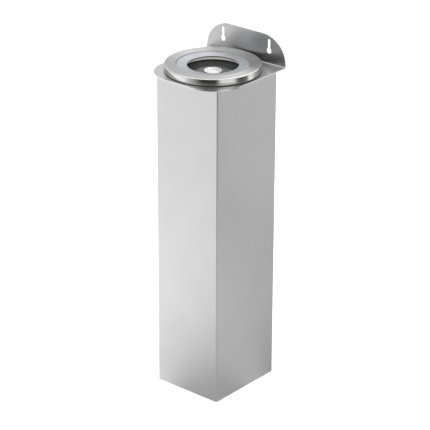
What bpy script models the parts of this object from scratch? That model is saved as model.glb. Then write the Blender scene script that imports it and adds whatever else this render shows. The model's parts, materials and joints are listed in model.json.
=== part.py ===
"""Wall-hung ashtray bin: a folded steel column under an L bracket, with a lift-out liner and a lift-off head.

Metres, +Z up. The head ring's axis is the Z axis and the column stands on z = 0.
-Y is the front and +Y is the wall.
"""

import math

import bmesh
import bpy
from mathutils import Matrix, Vector

# Clearance between pieces that touch, how far cutters run past what they cut, and fineness of round pieces
GAP = 0.0003
PAST = 0.01
FINE, MEDIUM, COARSE = 60, 36, 12

# Column: one folded sheet with a butt seam at the middle of its back
COLUMN_HALF_WIDTH = 0.050
COLUMN_FRONT, COLUMN_BACK = -0.050, 0.065
COLUMN_TOP = 0.430
COLUMN_SHEET = 0.0012
COLUMN_BEND = 0.0018
SEAM_WIDTH = 0.0006

# Seam strip and its flush rivets, on the inside of the back
STRIP_HALF_WIDTH, STRIP_BOTTOM, STRIP_TOP = 0.012, 0.020, 0.412
RIVET_OFFSET = 0.0065
RIVET_HEIGHTS = (0.050, 0.216, 0.382)
RIVET_HEAD_RADIUS, RIVET_HEAD_DEPTH, RIVET_RADIUS = 0.0029, 0.0012, 0.0016
RIVET_BULB_RADIUS, RIVET_BULB_LENGTH = 0.0025, 0.0016

# Base plate: a tray that closes the column a little above its bottom edge
BASE_BOTTOM, BASE_FLANGE_TOP = 0.003, 0.016
DRAIN_RADIUS, DRAIN_INSET = 0.003, 0.014

# Bracket: a level plate and an upright wall flange, bent from one sheet
BRACKET_SHEET = 0.0015
BRACKET_HALF_WIDTH = 0.064
PLATE_FRONT = -0.066
PLATE_UNDER = COLUMN_TOP
PLATE_TOP = PLATE_UNDER + BRACKET_SHEET
WALL_TOP = 0.469
BEND_INSIDE = 0.0015
BEND_STEPS = 5
FRONT_CORNER_RADIUS = 0.044
WALL_CORNER_RADIUS = 0.039
OPENING_RADIUS = 0.0486
KEYHOLE_OFFSET = 0.0375
KEYHOLE_HEAD_HEIGHT, KEYHOLE_HEAD_RADIUS = 0.44825, 0.00375
KEYHOLE_SLOT_TOP, KEYHOLE_SLOT_RADIUS = 0.4635, 0.002

# Corner gussets with countersunk screws and nuts, which hold the bracket on the column
GUSSET_SHEET, GUSSET_DEPTH = 0.0015, 0.012
GUSSET_INNER_RADIUS = 0.0505
GUSSET_FRONT_REACH, GUSSET_BACK_REACH = (0.030, 0.030), (0.028, 0.034)
SCREW_OFFSET = 0.039
SCREW_HEAD_RADIUS, SCREW_HEAD_DEPTH, SCREW_RADIUS, SCREW_LENGTH = 0.0036, 0.0013, 0.002, 0.012
NUT_ACROSS_FLATS, NUT_HEIGHT = 0.007, 0.0032

# Liner: a tube that hangs by its flange on the plate, and a pressed base
LINER_RADIUS, LINER_WALL = 0.046, 0.001
LINER_BOTTOM = 0.014
LINER_FLANGE_RADIUS = 0.052
LINER_TOP = PLATE_TOP + GAP + LINER_WALL
LINER_BASE_RADIUS, LINER_BASE_RIM = 0.0444, 0.010
FINGER_HOLE_RADIUS, FINGER_HOLE_HEIGHT = 0.009, 0.392

# Head ring, gasket and dish
RING_RADIUS, RING_INNER_RADIUS = 0.061, 0.0458
RING_BOTTOM, RING_TOP = PLATE_TOP + 0.0009, PLATE_TOP + 0.0095
RING_WALL, RING_FILLET = 0.0015, 0.0014
RING_INNER_DROP = 0.0004
LEDGE_INNER_RADIUS, LEDGE_OUTER_RADIUS = 0.0436, 0.0520
LEDGE_TOP, LEDGE_BOTTOM = PLATE_TOP + 0.0069, PLATE_TOP + 0.0029
GASKET_INNER_RADIUS, GASKET_OUTER_RADIUS = 0.0540, 0.0613
GASKET_THICKNESS = 0.0003
DISH_RADIUS, DISH_EDGE_TOP = 0.0455, PLATE_TOP + 0.0084
MOUTH_RADIUS, MOUTH_TOP = 0.0322, PLATE_TOP + 0.0071
COLLAR_RADIUS, COLLAR_BOTTOM = 0.0365, PLATE_TOP + 0.0011
DISH_SHEET = 0.001

# Skirt that centres the head in the liner, the carrier ring in its foot, and the spider on that
SKIRT_RADIUS, SKIRT_WALL = 0.0445, 0.001
SKIRT_TOP = LEDGE_BOTTOM - GAP
SKIRT_BOTTOM = 0.412
CARRIER_INNER_RADIUS, CARRIER_RADIUS, CARRIER_SHEET = 0.0378, 0.0430, 0.001
SPIDER_UNDER = SKIRT_BOTTOM + CARRIER_SHEET + GAP
SPIDER_HUB_RADIUS, SPIDER_ARM_LENGTH, SPIDER_ARM_HALF_WIDTH = 0.012, 0.0427, 0.0045
SPIDER_SHEET = 0.0015
SPIDER_ANGLES = (90, 210, 330)
SPIDER_SCREW_PLACE = 0.0405
SPIDER_SCREW_RADIUS, SPIDER_SCREW_LENGTH = 0.0015, 0.0065
SPIDER_SCREW_HEAD_RADIUS, SPIDER_SCREW_HEAD_HEIGHT = 0.0027, 0.0018

# Baffle dome, stub disc and the parts on the disc's stud
DOME_RADIUS, DOME_FLAT_RADIUS = 0.029, 0.0105
DOME_TOP, DOME_EDGE = PLATE_TOP - 0.0017, PLATE_TOP - 0.0110
DOME_SHEET = 0.0012
DOME_STEPS = 7
DISC_RADIUS, DISC_TOP, DISC_THICKNESS, DISC_CHAMFER = 0.0115, PLATE_TOP - 0.0002, 0.0012, 0.0003
STUD_RADIUS, STUD_BOTTOM = 0.0025, 0.4055
STUD_HOLE_RADIUS = STUD_RADIUS + GAP
SLEEVE_RADIUS = 0.0055
WASHER_RADIUS, WASHER_THICKNESS = 0.006, 0.001
STUD_NUT_ACROSS_FLATS, STUD_NUT_HEIGHT = 0.008, 0.004

STEEL = (0.62, 0.62, 0.61)
ZINC = (0.55, 0.56, 0.56)
BLACK = (0.02, 0.02, 0.02)


def clear_scene():
    for obj in list(bpy.data.objects):
        bpy.data.objects.remove(obj, do_unlink=True)


def arc(centre, radius, start, end, steps):
    """Points on an arc from start to end, in degrees."""
    angles = [math.radians(start + (end - start) * i / steps) for i in range(steps + 1)]
    return [(centre[0] + radius * math.cos(a), centre[1] + radius * math.sin(a)) for a in angles]


def prism(outline, low, high):
    """A bmesh of the outline's polygon, counterclockwise seen from above, from low to high along Z."""
    bm = bmesh.new()
    face = bm.faces.new([bm.verts.new((x, y, low)) for x, y in outline])
    bmesh.ops.reverse_faces(bm, faces=[face])
    grown = bmesh.ops.extrude_face_region(bm, geom=[face], use_keep_orig=True)
    top = [v for v in grown["geom"] if isinstance(v, bmesh.types.BMVert)]
    bmesh.ops.translate(bm, verts=top, vec=(0, 0, high - low))
    bmesh.ops.recalc_face_normals(bm, faces=bm.faces)
    return bm


def turned(profile, steps):
    """A bmesh of the closed (radius, height) profile turned about the Z axis."""
    bm = bmesh.new()
    verts = [bm.verts.new((r, 0, z)) for r, z in profile]
    pairs = zip(verts, verts[1:] + verts[:1], strict=True)
    edges = [bm.edges.new(pair) for pair in pairs if pair[0].co.x + pair[1].co.x > 0]
    bmesh.ops.spin(
        bm,
        geom=verts + edges,
        axis=(0, 0, 1),
        cent=(0, 0, 0),
        angle=math.tau,
        steps=steps,
        use_merge=True,
    )
    bmesh.ops.remove_doubles(bm, verts=bm.verts, dist=1e-6)
    bmesh.ops.recalc_face_normals(bm, faces=bm.faces)
    return bm


def tube(inner, outer, low, high, steps):
    return turned([(inner, low), (outer, low), (outer, high), (inner, high)], steps)


def rod(radius, low, high, steps):
    return turned([(0, low), (radius, low), (radius, high), (0, high)], steps)


def rectangle(half_width, front, back):
    return [(-half_width, front), (half_width, front), (half_width, back), (-half_width, back)]


def hexagon(across_flats):
    return arc((0, 0), across_flats / math.sqrt(3), 0, 300, 5)


def merged(parts):
    """One bmesh that holds all of these, as separate bodies."""
    bm = bmesh.new()
    for part in parts:
        mesh = bpy.data.meshes.new("part")
        part.to_mesh(mesh)
        part.free()
        bm.from_mesh(mesh)
        bpy.data.meshes.remove(mesh)
    return bm


def moved(bm, place, turn=None):
    """The bmesh turned by a matrix about the origin, then moved to its place."""
    if turn:
        bmesh.ops.transform(bm, matrix=turn, verts=bm.verts)
    bmesh.ops.translate(bm, verts=bm.verts, vec=place)
    return bm


def add_object(name, bm):
    mesh = bpy.data.meshes.new(name)
    bm.to_mesh(mesh)
    bm.free()
    obj = bpy.data.objects.new(name, mesh)
    bpy.context.scene.collection.objects.link(obj)
    return obj


def add_material(obj, colour, metallic, roughness):
    material = bpy.data.materials.new(obj.name)
    material.use_nodes = True
    shader = material.node_tree.nodes["Principled BSDF"]
    shader.inputs["Base Color"].default_value = (*colour, 1)
    shader.inputs["Metallic"].default_value = metallic
    shader.inputs["Roughness"].default_value = roughness
    obj.data.materials.append(material)


def add_part(name, bm, parent, colour=STEEL, metallic=1.0, roughness=0.35, smooth=False):
    """A named piece under its body's empty, whose origin is its place in the world."""
    obj = add_object(name, bm)
    obj.parent = parent
    obj.matrix_parent_inverse = parent.matrix_world.inverted()
    add_material(obj, colour, metallic, roughness)
    if smooth:
        obj.data.shade_smooth()
        obj.data.set_sharp_from_angle(angle=math.radians(30))
    return obj


def add_body(name, height, parent=None):
    """An empty on the Z axis that carries the pieces that move together."""
    empty = bpy.data.objects.new(name, None)
    bpy.context.scene.collection.objects.link(empty)
    empty.location = (0, 0, height)
    if parent:
        empty.parent = parent
        empty.matrix_parent_inverse = parent.matrix_world.inverted()
    bpy.context.view_layer.update()
    return empty


def combine(obj, other, operation="DIFFERENCE"):
    """Cuts other from obj, or joins it on, with a Boolean. other stays as a hidden helper."""
    other.hide_render = True
    other.display_type = "WIRE"
    modifier = obj.modifiers.new(other.name, "BOOLEAN")
    modifier.operation = operation
    modifier.object = other
    modifier.solver = "EXACT"


def cut(obj, name, *cutters):
    combine(obj, add_object(name, merged(cutters)))


def countersink(head_radius, head_depth, radius):
    """A cutter's profile on the axis for a flush conical head in a face at height 0, with GAP all round."""
    return [
        (0, -PAST),
        (radius + GAP, -PAST),
        (radius + GAP, -head_depth),
        (head_radius + GAP, 0),
        (head_radius + GAP, PAST),
        (0, PAST),
    ]


def column_outline():
    """The folded sheet's cross-section, starting and ending at the rear seam."""
    outer, inner = [], []
    for skin, inset, bend in (
        (outer, 0, COLUMN_BEND),
        (inner, COLUMN_SHEET, COLUMN_BEND - COLUMN_SHEET),
    ):
        side = COLUMN_HALF_WIDTH - inset - bend
        front, back = COLUMN_FRONT + inset + bend, COLUMN_BACK - inset - bend
        skin.append((-SEAM_WIDTH / 2, COLUMN_BACK - inset))
        skin += arc((-side, back), bend, 90, 180, 4)
        skin += arc((-side, front), bend, 180, 270, 4)
        skin += arc((side, front), bend, 270, 360, 4)
        skin += arc((side, back), bend, 0, 90, 4)
        skin.append((SEAM_WIDTH / 2, COLUMN_BACK - inset))
    return outer + inner[::-1]


def rivet_places():
    return [(x, COLUMN_BACK, z) for z in RIVET_HEIGHTS for x in (-RIVET_OFFSET, RIVET_OFFSET)]


def facing_back(bm, place):
    """Turns a piece made with its head up so that the head faces the wall, at its place."""
    return moved(bm, place, Matrix.Rotation(math.radians(-90), 4, "X"))


def make_column(body):
    shell = add_part("column_shell", prism(column_outline(), 0, COLUMN_TOP - GAP), body)
    profile = countersink(RIVET_HEAD_RADIUS, RIVET_HEAD_DEPTH, RIVET_RADIUS)
    cut(shell, "rivet_cutters", *(facing_back(turned(profile, COARSE), p) for p in rivet_places()))


def make_seam_strip(body):
    back = COLUMN_BACK - COLUMN_SHEET - GAP
    front = back - COLUMN_SHEET
    corners = rectangle(STRIP_HALF_WIDTH, front, back)
    strip = add_part("seam_strip", prism(corners, STRIP_BOTTOM, STRIP_TOP), body)
    holes = (rod(RIVET_RADIUS + GAP, -PAST, PAST, COARSE) for _ in rivet_places())
    cut(strip, "strip_hole_cutters", *map(facing_back, holes, rivet_places()))
    add_rivets(body)


def add_rivets(body):
    """Flush rivets whose bulbs close behind the strip."""
    bulb_top = -(2 * COLUMN_SHEET + 2 * GAP)
    bulb_low = bulb_top - RIVET_BULB_LENGTH
    for number, place in enumerate(rivet_places(), 1):
        profile = [
            (0, bulb_low),
            (RIVET_BULB_RADIUS * 0.7, bulb_low),
            (RIVET_BULB_RADIUS, bulb_low + RIVET_BULB_LENGTH * 0.4),
            (RIVET_BULB_RADIUS, bulb_top),
            (RIVET_RADIUS, bulb_top),
            (RIVET_RADIUS, -RIVET_HEAD_DEPTH),
            (RIVET_HEAD_RADIUS, 0),
            (0, 0),
        ]
        rivet = add_part(f"seam_rivet_{number}", turned(profile, COARSE), body, ZINC, smooth=True)
        rivet.location = place
        rivet.rotation_euler = (math.radians(-90), 0, 0)


def tray(half_width, front, back, low, high, wall):
    """An open box: its floor and walls are wall thick."""
    bm = prism(rectangle(half_width, front, back), low, high)
    top = max(bm.faces, key=lambda face: face.calc_center_median().z)
    bmesh.ops.inset_region(bm, faces=[top], thickness=wall)
    inner = bmesh.ops.extrude_face_region(bm, geom=[top])
    floor = [v for v in inner["geom"] if isinstance(v, bmesh.types.BMVert)]
    bmesh.ops.translate(bm, verts=floor, vec=(0, 0, low + wall - high))
    bmesh.ops.delete(bm, geom=[top], context="FACES_ONLY")
    bmesh.ops.recalc_face_normals(bm, faces=bm.faces)
    return bm


def make_base_plate(body):
    inset = COLUMN_SHEET + GAP
    half_width = COLUMN_HALF_WIDTH - inset
    front, back = COLUMN_FRONT + inset, COLUMN_BACK - inset
    bm = tray(half_width, front, back, BASE_BOTTOM, BASE_FLANGE_TOP, COLUMN_SHEET)
    base = add_part("base_plate", bm, body)
    places = [
        (side * (half_width - DRAIN_INSET), y, BASE_BOTTOM)
        for side in (-1, 1)
        for y in (front + DRAIN_INSET, back - DRAIN_INSET)
    ]
    cut(base, "drain_cutters", *(moved(rod(DRAIN_RADIUS, -PAST, PAST, COARSE), p) for p in places))


def bracket_blank():
    """The flat sheet's outline. Beyond the bend line, Y runs up the wall flange."""
    flange = WALL_TOP - PLATE_TOP - BEND_INSIDE
    end = bend_line() + bend_length() + flange
    front_x, wall_x = BRACKET_HALF_WIDTH - FRONT_CORNER_RADIUS, BRACKET_HALF_WIDTH - WALL_CORNER_RADIUS
    front_y, wall_y = PLATE_FRONT + FRONT_CORNER_RADIUS, end - WALL_CORNER_RADIUS
    return [
        *arc((-front_x, front_y), FRONT_CORNER_RADIUS, 180, 270, 16),
        *arc((front_x, front_y), FRONT_CORNER_RADIUS, 270, 360, 16),
        *arc((wall_x, wall_y), WALL_CORNER_RADIUS, 0, 90, 16),
        *arc((-wall_x, wall_y), WALL_CORNER_RADIUS, 90, 180, 16),
    ]


def bend_line():
    return COLUMN_BACK - BRACKET_SHEET - BEND_INSIDE


def bend_length():
    """The neutral line's length through the quarter bend."""
    return math.pi / 2 * (BEND_INSIDE + BRACKET_SHEET / 2)


def bent(point):
    """Where a point of the flat sheet goes once the flange is bent up."""
    beyond = point.y - bend_line()
    if beyond <= 0:
        return point
    angle = math.pi / 2 * min(beyond / bend_length(), 1)
    straight = max(beyond - bend_length(), 0)
    centre = PLATE_TOP + BEND_INSIDE
    radius = centre - point.z
    y = bend_line() + radius * math.sin(angle) + straight * math.cos(angle)
    return Vector((point.x, y, centre - radius * math.cos(angle) + straight * math.sin(angle)))


def keyhole(side):
    """A cutter for a round hole with a slot above it, through the wall flange."""
    x = side * KEYHOLE_OFFSET
    neck = math.degrees(math.asin(KEYHOLE_SLOT_RADIUS / KEYHOLE_HEAD_RADIUS))
    slot_end = KEYHOLE_SLOT_TOP - KEYHOLE_SLOT_RADIUS
    outline = [
        *arc((x, -KEYHOLE_HEAD_HEIGHT), KEYHOLE_HEAD_RADIUS, neck - 90, 270 - neck, 14),
        *arc((x, -slot_end), KEYHOLE_SLOT_RADIUS, 180, 360, 8),
    ]
    depth = 4 * BRACKET_SHEET
    turn = Matrix.Rotation(math.radians(-90), 4, "X")
    return moved(prism(outline, -depth, depth), (0, COLUMN_BACK - BRACKET_SHEET / 2, 0), turn)


def screw_places():
    return [(x, y) for y in (-SCREW_OFFSET, SCREW_OFFSET) for x in (-SCREW_OFFSET, SCREW_OFFSET)]


def make_bracket(body):
    bm = prism(bracket_blank(), PLATE_UNDER, PLATE_TOP)
    for step in range(BEND_STEPS + 1):
        row = (0, bend_line() + bend_length() * step / BEND_STEPS, 0)
        everything = bm.verts[:] + bm.edges[:] + bm.faces[:]
        bmesh.ops.bisect_plane(bm, geom=everything, plane_co=row, plane_no=(0, 1, 0), dist=1e-7)
    for vert in bm.verts:
        vert.co = bent(vert.co.copy())
    bracket = add_part("top_bracket", bm, body)
    cut(bracket, "opening_cutter", rod(OPENING_RADIUS, PLATE_UNDER - PAST, PLATE_TOP + PAST, FINE))
    cut(bracket, "keyhole_cutters", keyhole(-1), keyhole(1))
    sink = countersink(SCREW_HEAD_RADIUS, SCREW_HEAD_DEPTH, SCREW_RADIUS)
    sinks = (moved(turned(sink, COARSE), (x, y, PLATE_TOP)) for x, y in screw_places())
    cut(bracket, "screw_sink_cutters", *sinks)


def gusset_outline(corner, reach, radius):
    """A corner piece of the level web, cut back around the liner. corner is its outer corner."""
    cx, cy = corner
    rx, ry = math.copysign(reach[0], cx), math.copysign(reach[1], cy)
    at_x = (rx, math.copysign(math.sqrt(radius**2 - rx**2), cy))
    at_y = (math.copysign(math.sqrt(radius**2 - ry**2), cx), ry)
    start, end = (math.degrees(math.atan2(p[1], p[0])) for p in (at_x, at_y))
    outline = [(cx, cy), (rx, cy), *arc((0, 0), radius, start, end, 6), (cx, ry)]
    return outline if cx * cy > 0 else outline[::-1]


def gusset_flange_outline(corner, reach):
    """The two upright legs along the column's walls, as one L in plan."""
    cx, cy = corner
    wall_x, wall_y = math.copysign(GUSSET_SHEET, cx), math.copysign(GUSSET_SHEET, cy)
    rx, ry = math.copysign(reach[0], cx), math.copysign(reach[1], cy)
    outline = [(cx, cy), (rx, cy), (rx, cy - wall_y), (cx - wall_x, cy - wall_y), (cx - wall_x, ry), (cx, ry)]
    return outline if cx * cy > 0 else outline[::-1]


def make_gussets(body):
    inset = COLUMN_SHEET + GAP
    top = COLUMN_TOP - GAP
    hidden = GAP / 3
    for y, reach in ((COLUMN_FRONT + inset, GUSSET_FRONT_REACH), (COLUMN_BACK - inset, GUSSET_BACK_REACH)):
        for side in (-1, 1):
            name = f"gusset_{'front' if y < 0 else 'back'}_{'left' if side < 0 else 'right'}"
            corner = (side * (COLUMN_HALF_WIDTH - inset), y)
            web = prism(gusset_outline(corner, reach, GUSSET_INNER_RADIUS), top - GUSSET_SHEET, top)
            gusset = add_part(name, web, body)
            inner_corner = (corner[0] - side * hidden, y - math.copysign(hidden, y))
            inner_reach = (reach[0] + hidden, reach[1] + hidden)
            legs = prism(gusset_flange_outline(inner_corner, inner_reach), top - GUSSET_DEPTH, top - hidden)
            combine(gusset, add_object(name + "_legs", legs), "UNION")
            place = (side * SCREW_OFFSET, math.copysign(SCREW_OFFSET, y), 0)
            cut(gusset, name + "_hole", moved(rod(SCREW_RADIUS + GAP, top - PAST, top + PAST, COARSE), place))


def make_bracket_screws(body):
    profile = [
        (0, -SCREW_LENGTH),
        (SCREW_RADIUS, -SCREW_LENGTH),
        (SCREW_RADIUS, -SCREW_HEAD_DEPTH),
        (SCREW_HEAD_RADIUS, 0),
        (0, 0),
    ]
    nut_top = COLUMN_TOP - GAP - GUSSET_SHEET - GAP
    for number, (x, y) in enumerate(screw_places(), 1):
        screw = add_part(f"bracket_screw_{number}", turned(profile, COARSE), body, ZINC, smooth=True)
        screw.location = (x, y, PLATE_TOP)
        nut = add_part(f"bracket_nut_{number}", prism(hexagon(NUT_ACROSS_FLATS), -NUT_HEIGHT, 0), body, ZINC)
        nut.location = (x, y, nut_top)
        hole = rod(SCREW_RADIUS + GAP, -PAST, PAST, COARSE)
        cut(nut, f"bracket_nut_hole_{number}", moved(hole, (x, y, nut_top)))


def make_liner(body):
    inner = LINER_RADIUS - LINER_WALL
    profile = [
        (inner, LINER_BOTTOM),
        (LINER_RADIUS, LINER_BOTTOM),
        (LINER_RADIUS, LINER_TOP - LINER_WALL),
        (LINER_FLANGE_RADIUS, LINER_TOP - LINER_WALL),
        (LINER_FLANGE_RADIUS, LINER_TOP),
        (inner, LINER_TOP),
    ]
    liner = add_part("liner_tube", turned(profile, MEDIUM), body, smooth=True)
    across = Matrix.Rotation(math.radians(90), 4, "Y")
    hole = rod(FINGER_HOLE_RADIUS, -2 * LINER_RADIUS, 2 * LINER_RADIUS, MEDIUM // 2)
    cut(liner, "finger_hole_cutter", moved(hole, (0, 0, FINGER_HOLE_HEIGHT), across))
    floor = LINER_BOTTOM + LINER_WALL
    rim = LINER_BASE_RADIUS - LINER_WALL
    pressed = [
        (0, LINER_BOTTOM),
        (LINER_BASE_RADIUS, LINER_BOTTOM),
        (LINER_BASE_RADIUS, LINER_BOTTOM + LINER_BASE_RIM),
        (rim, LINER_BOTTOM + LINER_BASE_RIM),
        (rim, floor),
        (0, floor),
    ]
    add_part("liner_base", turned(pressed, MEDIUM), body, smooth=True)


def ring_profile():
    """The head ring's section: side band, top band and the ledge that the dish sits on."""
    fillet = arc((RING_RADIUS - RING_FILLET, RING_TOP - RING_FILLET), RING_FILLET, 0, 90, 4)
    under = RING_TOP - RING_WALL
    return [
        (RING_RADIUS, RING_BOTTOM),
        *fillet,
        (RING_INNER_RADIUS, RING_TOP - RING_INNER_DROP),
        (RING_INNER_RADIUS, LEDGE_TOP),
        (LEDGE_INNER_RADIUS, LEDGE_TOP),
        (LEDGE_INNER_RADIUS, LEDGE_BOTTOM),
        (LEDGE_OUTER_RADIUS, LEDGE_BOTTOM),
        (LEDGE_OUTER_RADIUS, under),
        (RING_RADIUS - RING_WALL, under),
        (RING_RADIUS - RING_WALL, RING_BOTTOM),
    ]


def dish_profile():
    """The dish's section: a shallow cone from its edge to the mouth's lip, and an upright collar under it."""
    lip = DISH_SHEET
    return [
        (DISH_RADIUS, DISH_EDGE_TOP),
        (MOUTH_RADIUS + lip, MOUTH_TOP),
        (MOUTH_RADIUS + 0.3 * lip, MOUTH_TOP - 0.3 * lip),
        (MOUTH_RADIUS, MOUTH_TOP - lip),
        (COLLAR_RADIUS, MOUTH_TOP - lip),
        (COLLAR_RADIUS, COLLAR_BOTTOM),
        (COLLAR_RADIUS + DISH_SHEET, COLLAR_BOTTOM),
        (COLLAR_RADIUS + DISH_SHEET, MOUTH_TOP - 0.6 * lip),
        (DISH_RADIUS, DISH_EDGE_TOP - DISH_SHEET),
    ]


def make_ring_and_dish(body):
    add_part("head_ring", turned(ring_profile(), FINE), body, smooth=True)
    add_part("dish", turned(dish_profile(), FINE), body, (0.7, 0.72, 0.75), smooth=True)
    low = PLATE_TOP + GAP
    rubber = tube(GASKET_INNER_RADIUS, GASKET_OUTER_RADIUS, low, low + GASKET_THICKNESS, FINE)
    add_part("gasket", rubber, body, BLACK, 0, 0.8, smooth=True)


def make_skirt(body):
    wall = tube(SKIRT_RADIUS - SKIRT_WALL, SKIRT_RADIUS, SKIRT_BOTTOM, SKIRT_TOP, MEDIUM)
    add_part("locating_skirt", wall, body, smooth=True)
    flat = tube(CARRIER_INNER_RADIUS, CARRIER_RADIUS, SKIRT_BOTTOM, SKIRT_BOTTOM + CARRIER_SHEET, MEDIUM)
    carrier = add_part("carrier_ring", flat, body, smooth=True)
    cut(carrier, "carrier_hole_cutters", *spider_screw_holes())


def spider_screw_holes():
    low, high = SKIRT_BOTTOM - PAST, SKIRT_BOTTOM + PAST
    radius = SPIDER_SCREW_RADIUS + GAP
    return [moved(rod(radius, low, high, COARSE), (x, y, 0)) for x, y in spider_screw_places()]


def spider_screw_places():
    return [polar(SPIDER_SCREW_PLACE, angle) for angle in SPIDER_ANGLES]


def polar(radius, degrees):
    return (radius * math.cos(math.radians(degrees)), radius * math.sin(math.radians(degrees)))


def spider_outline():
    """A round hub with straight arms."""
    outline = []
    root = math.degrees(math.asin(SPIDER_ARM_HALF_WIDTH / SPIDER_HUB_RADIUS))
    tip = math.degrees(math.asin(SPIDER_ARM_HALF_WIDTH / SPIDER_ARM_LENGTH))
    for angle in SPIDER_ANGLES:
        outline += arc((0, 0), SPIDER_ARM_LENGTH, angle - tip, angle + tip, 3)
        outline += arc((0, 0), SPIDER_HUB_RADIUS, angle + root, angle + 120 - root, 5)
    return outline


def make_spider(body):
    top = SPIDER_UNDER + SPIDER_SHEET
    spider = add_part("spider", prism(spider_outline(), SPIDER_UNDER, top), body)
    hub_hole = rod(STUD_HOLE_RADIUS, SPIDER_UNDER - PAST, top + PAST, COARSE)
    cut(spider, "spider_hole_cutters", hub_hole, *spider_screw_holes())
    seat = top + GAP
    head = seat + SPIDER_SCREW_HEAD_HEIGHT
    profile = [
        (0, seat - SPIDER_SCREW_LENGTH),
        (SPIDER_SCREW_RADIUS, seat - SPIDER_SCREW_LENGTH),
        (SPIDER_SCREW_RADIUS, seat),
        (SPIDER_SCREW_HEAD_RADIUS, seat),
        (SPIDER_SCREW_HEAD_RADIUS, seat + SPIDER_SCREW_HEAD_HEIGHT * 0.6),
        (SPIDER_SCREW_HEAD_RADIUS * 0.6, head),
        (0, head),
    ]
    for number, (x, y) in enumerate(spider_screw_places(), 1):
        screw = add_part(f"spider_screw_{number}", turned(profile, COARSE), body, ZINC, smooth=True)
        screw.location = (x, y, 0)


def dome_profile():
    """A flat seat that falls away in a quarter ellipse, one sheet thick, round the stud's hole."""
    run, fall = DOME_RADIUS - DOME_FLAT_RADIUS, DOME_TOP - DOME_EDGE
    outer, inner = [(STUD_HOLE_RADIUS, DOME_TOP)], [(STUD_HOLE_RADIUS, DOME_TOP - DOME_SHEET)]
    for step in range(DOME_STEPS + 1):
        angle = math.pi / 2 * step / DOME_STEPS
        out, down = math.sin(angle), 1 - math.cos(angle)
        outer.append((DOME_FLAT_RADIUS + run * out, DOME_TOP - fall * down))
        inner_top, inner_fall = DOME_TOP - DOME_SHEET, fall - DOME_SHEET
        inner.append((DOME_FLAT_RADIUS + (run - DOME_SHEET) * out, inner_top - inner_fall * down))
    return outer + inner[::-1]


def make_dome(body):
    add_part("baffle_dome", turned(dome_profile(), MEDIUM), body, BLACK, 0.4, 0.45, smooth=True)
    low, high = SPIDER_UNDER + SPIDER_SHEET + GAP, DOME_TOP - DOME_SHEET - GAP
    sleeve = tube(STUD_HOLE_RADIUS, SLEEVE_RADIUS, low, high, COARSE)
    add_part("spacer_sleeve", sleeve, body, ZINC, smooth=True)
    washer_top = SPIDER_UNDER - GAP
    washer = tube(STUD_HOLE_RADIUS, WASHER_RADIUS, washer_top - WASHER_THICKNESS, washer_top, COARSE)
    add_part("stud_washer", washer, body, ZINC, smooth=True)
    nut_top = washer_top - WASHER_THICKNESS - GAP
    hex_bar = prism(hexagon(STUD_NUT_ACROSS_FLATS), nut_top - STUD_NUT_HEIGHT, nut_top)
    nut = add_part("stud_nut", hex_bar, body, ZINC)
    cut(nut, "stud_nut_hole", rod(STUD_HOLE_RADIUS, nut_top - PAST, nut_top + PAST, COARSE))


def make_stub_disc(body):
    """The disc that cigarettes are put out on, with the stud that holds dome and spider together."""
    under = DISC_TOP - DISC_THICKNESS
    profile = [
        (0, STUD_BOTTOM),
        (STUD_RADIUS, STUD_BOTTOM),
        (STUD_RADIUS, under),
        (DISC_RADIUS, under),
        (DISC_RADIUS, DISC_TOP - DISC_CHAMFER),
        (DISC_RADIUS - DISC_CHAMFER, DISC_TOP),
        (0, DISC_TOP),
    ]
    add_part("stub_disc", turned(profile, MEDIUM), body, (0.85, 0.85, 0.86), roughness=0.25, smooth=True)


def make_housing():
    housing = add_body("housing", 0)
    make_column(housing)
    make_seam_strip(housing)
    make_base_plate(housing)
    make_bracket(housing)
    make_gussets(housing)
    make_bracket_screws(housing)
    return housing


def main():
    clear_scene()
    housing = make_housing()
    liner = add_body("liner", PLATE_TOP, housing)
    make_liner(liner)
    head = add_body("head", LINER_TOP, liner)
    make_ring_and_dish(head)
    make_skirt(head)
    make_spider(head)
    make_dome(head)
    make_stub_disc(head)


main()
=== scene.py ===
"""Ashtray bin: the detailed pieces, materials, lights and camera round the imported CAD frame. Metres, +Z up."""

import json
import math

import bmesh
import bpy
from mathutils import Matrix, Vector


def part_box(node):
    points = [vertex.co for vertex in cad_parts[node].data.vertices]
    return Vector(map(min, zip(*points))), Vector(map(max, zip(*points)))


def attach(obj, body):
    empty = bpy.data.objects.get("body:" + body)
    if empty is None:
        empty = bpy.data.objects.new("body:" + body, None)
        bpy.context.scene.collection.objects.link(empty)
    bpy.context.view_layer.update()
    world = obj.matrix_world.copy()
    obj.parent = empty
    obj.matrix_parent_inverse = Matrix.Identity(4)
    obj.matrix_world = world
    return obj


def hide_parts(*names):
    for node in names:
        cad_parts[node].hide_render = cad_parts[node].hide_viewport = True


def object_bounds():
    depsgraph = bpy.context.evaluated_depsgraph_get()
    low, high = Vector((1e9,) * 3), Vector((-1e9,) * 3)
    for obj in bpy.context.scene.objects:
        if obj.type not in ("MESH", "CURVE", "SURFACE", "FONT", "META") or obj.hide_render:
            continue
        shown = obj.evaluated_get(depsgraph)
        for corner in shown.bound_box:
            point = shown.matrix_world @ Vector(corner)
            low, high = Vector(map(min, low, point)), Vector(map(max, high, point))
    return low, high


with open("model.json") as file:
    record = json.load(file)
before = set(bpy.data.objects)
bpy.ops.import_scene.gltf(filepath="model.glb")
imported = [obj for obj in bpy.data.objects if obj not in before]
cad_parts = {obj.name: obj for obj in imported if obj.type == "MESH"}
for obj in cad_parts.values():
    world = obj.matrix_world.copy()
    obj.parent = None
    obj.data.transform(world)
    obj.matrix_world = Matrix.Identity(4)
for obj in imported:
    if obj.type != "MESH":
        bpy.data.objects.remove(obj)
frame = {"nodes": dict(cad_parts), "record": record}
cad_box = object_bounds()

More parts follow.
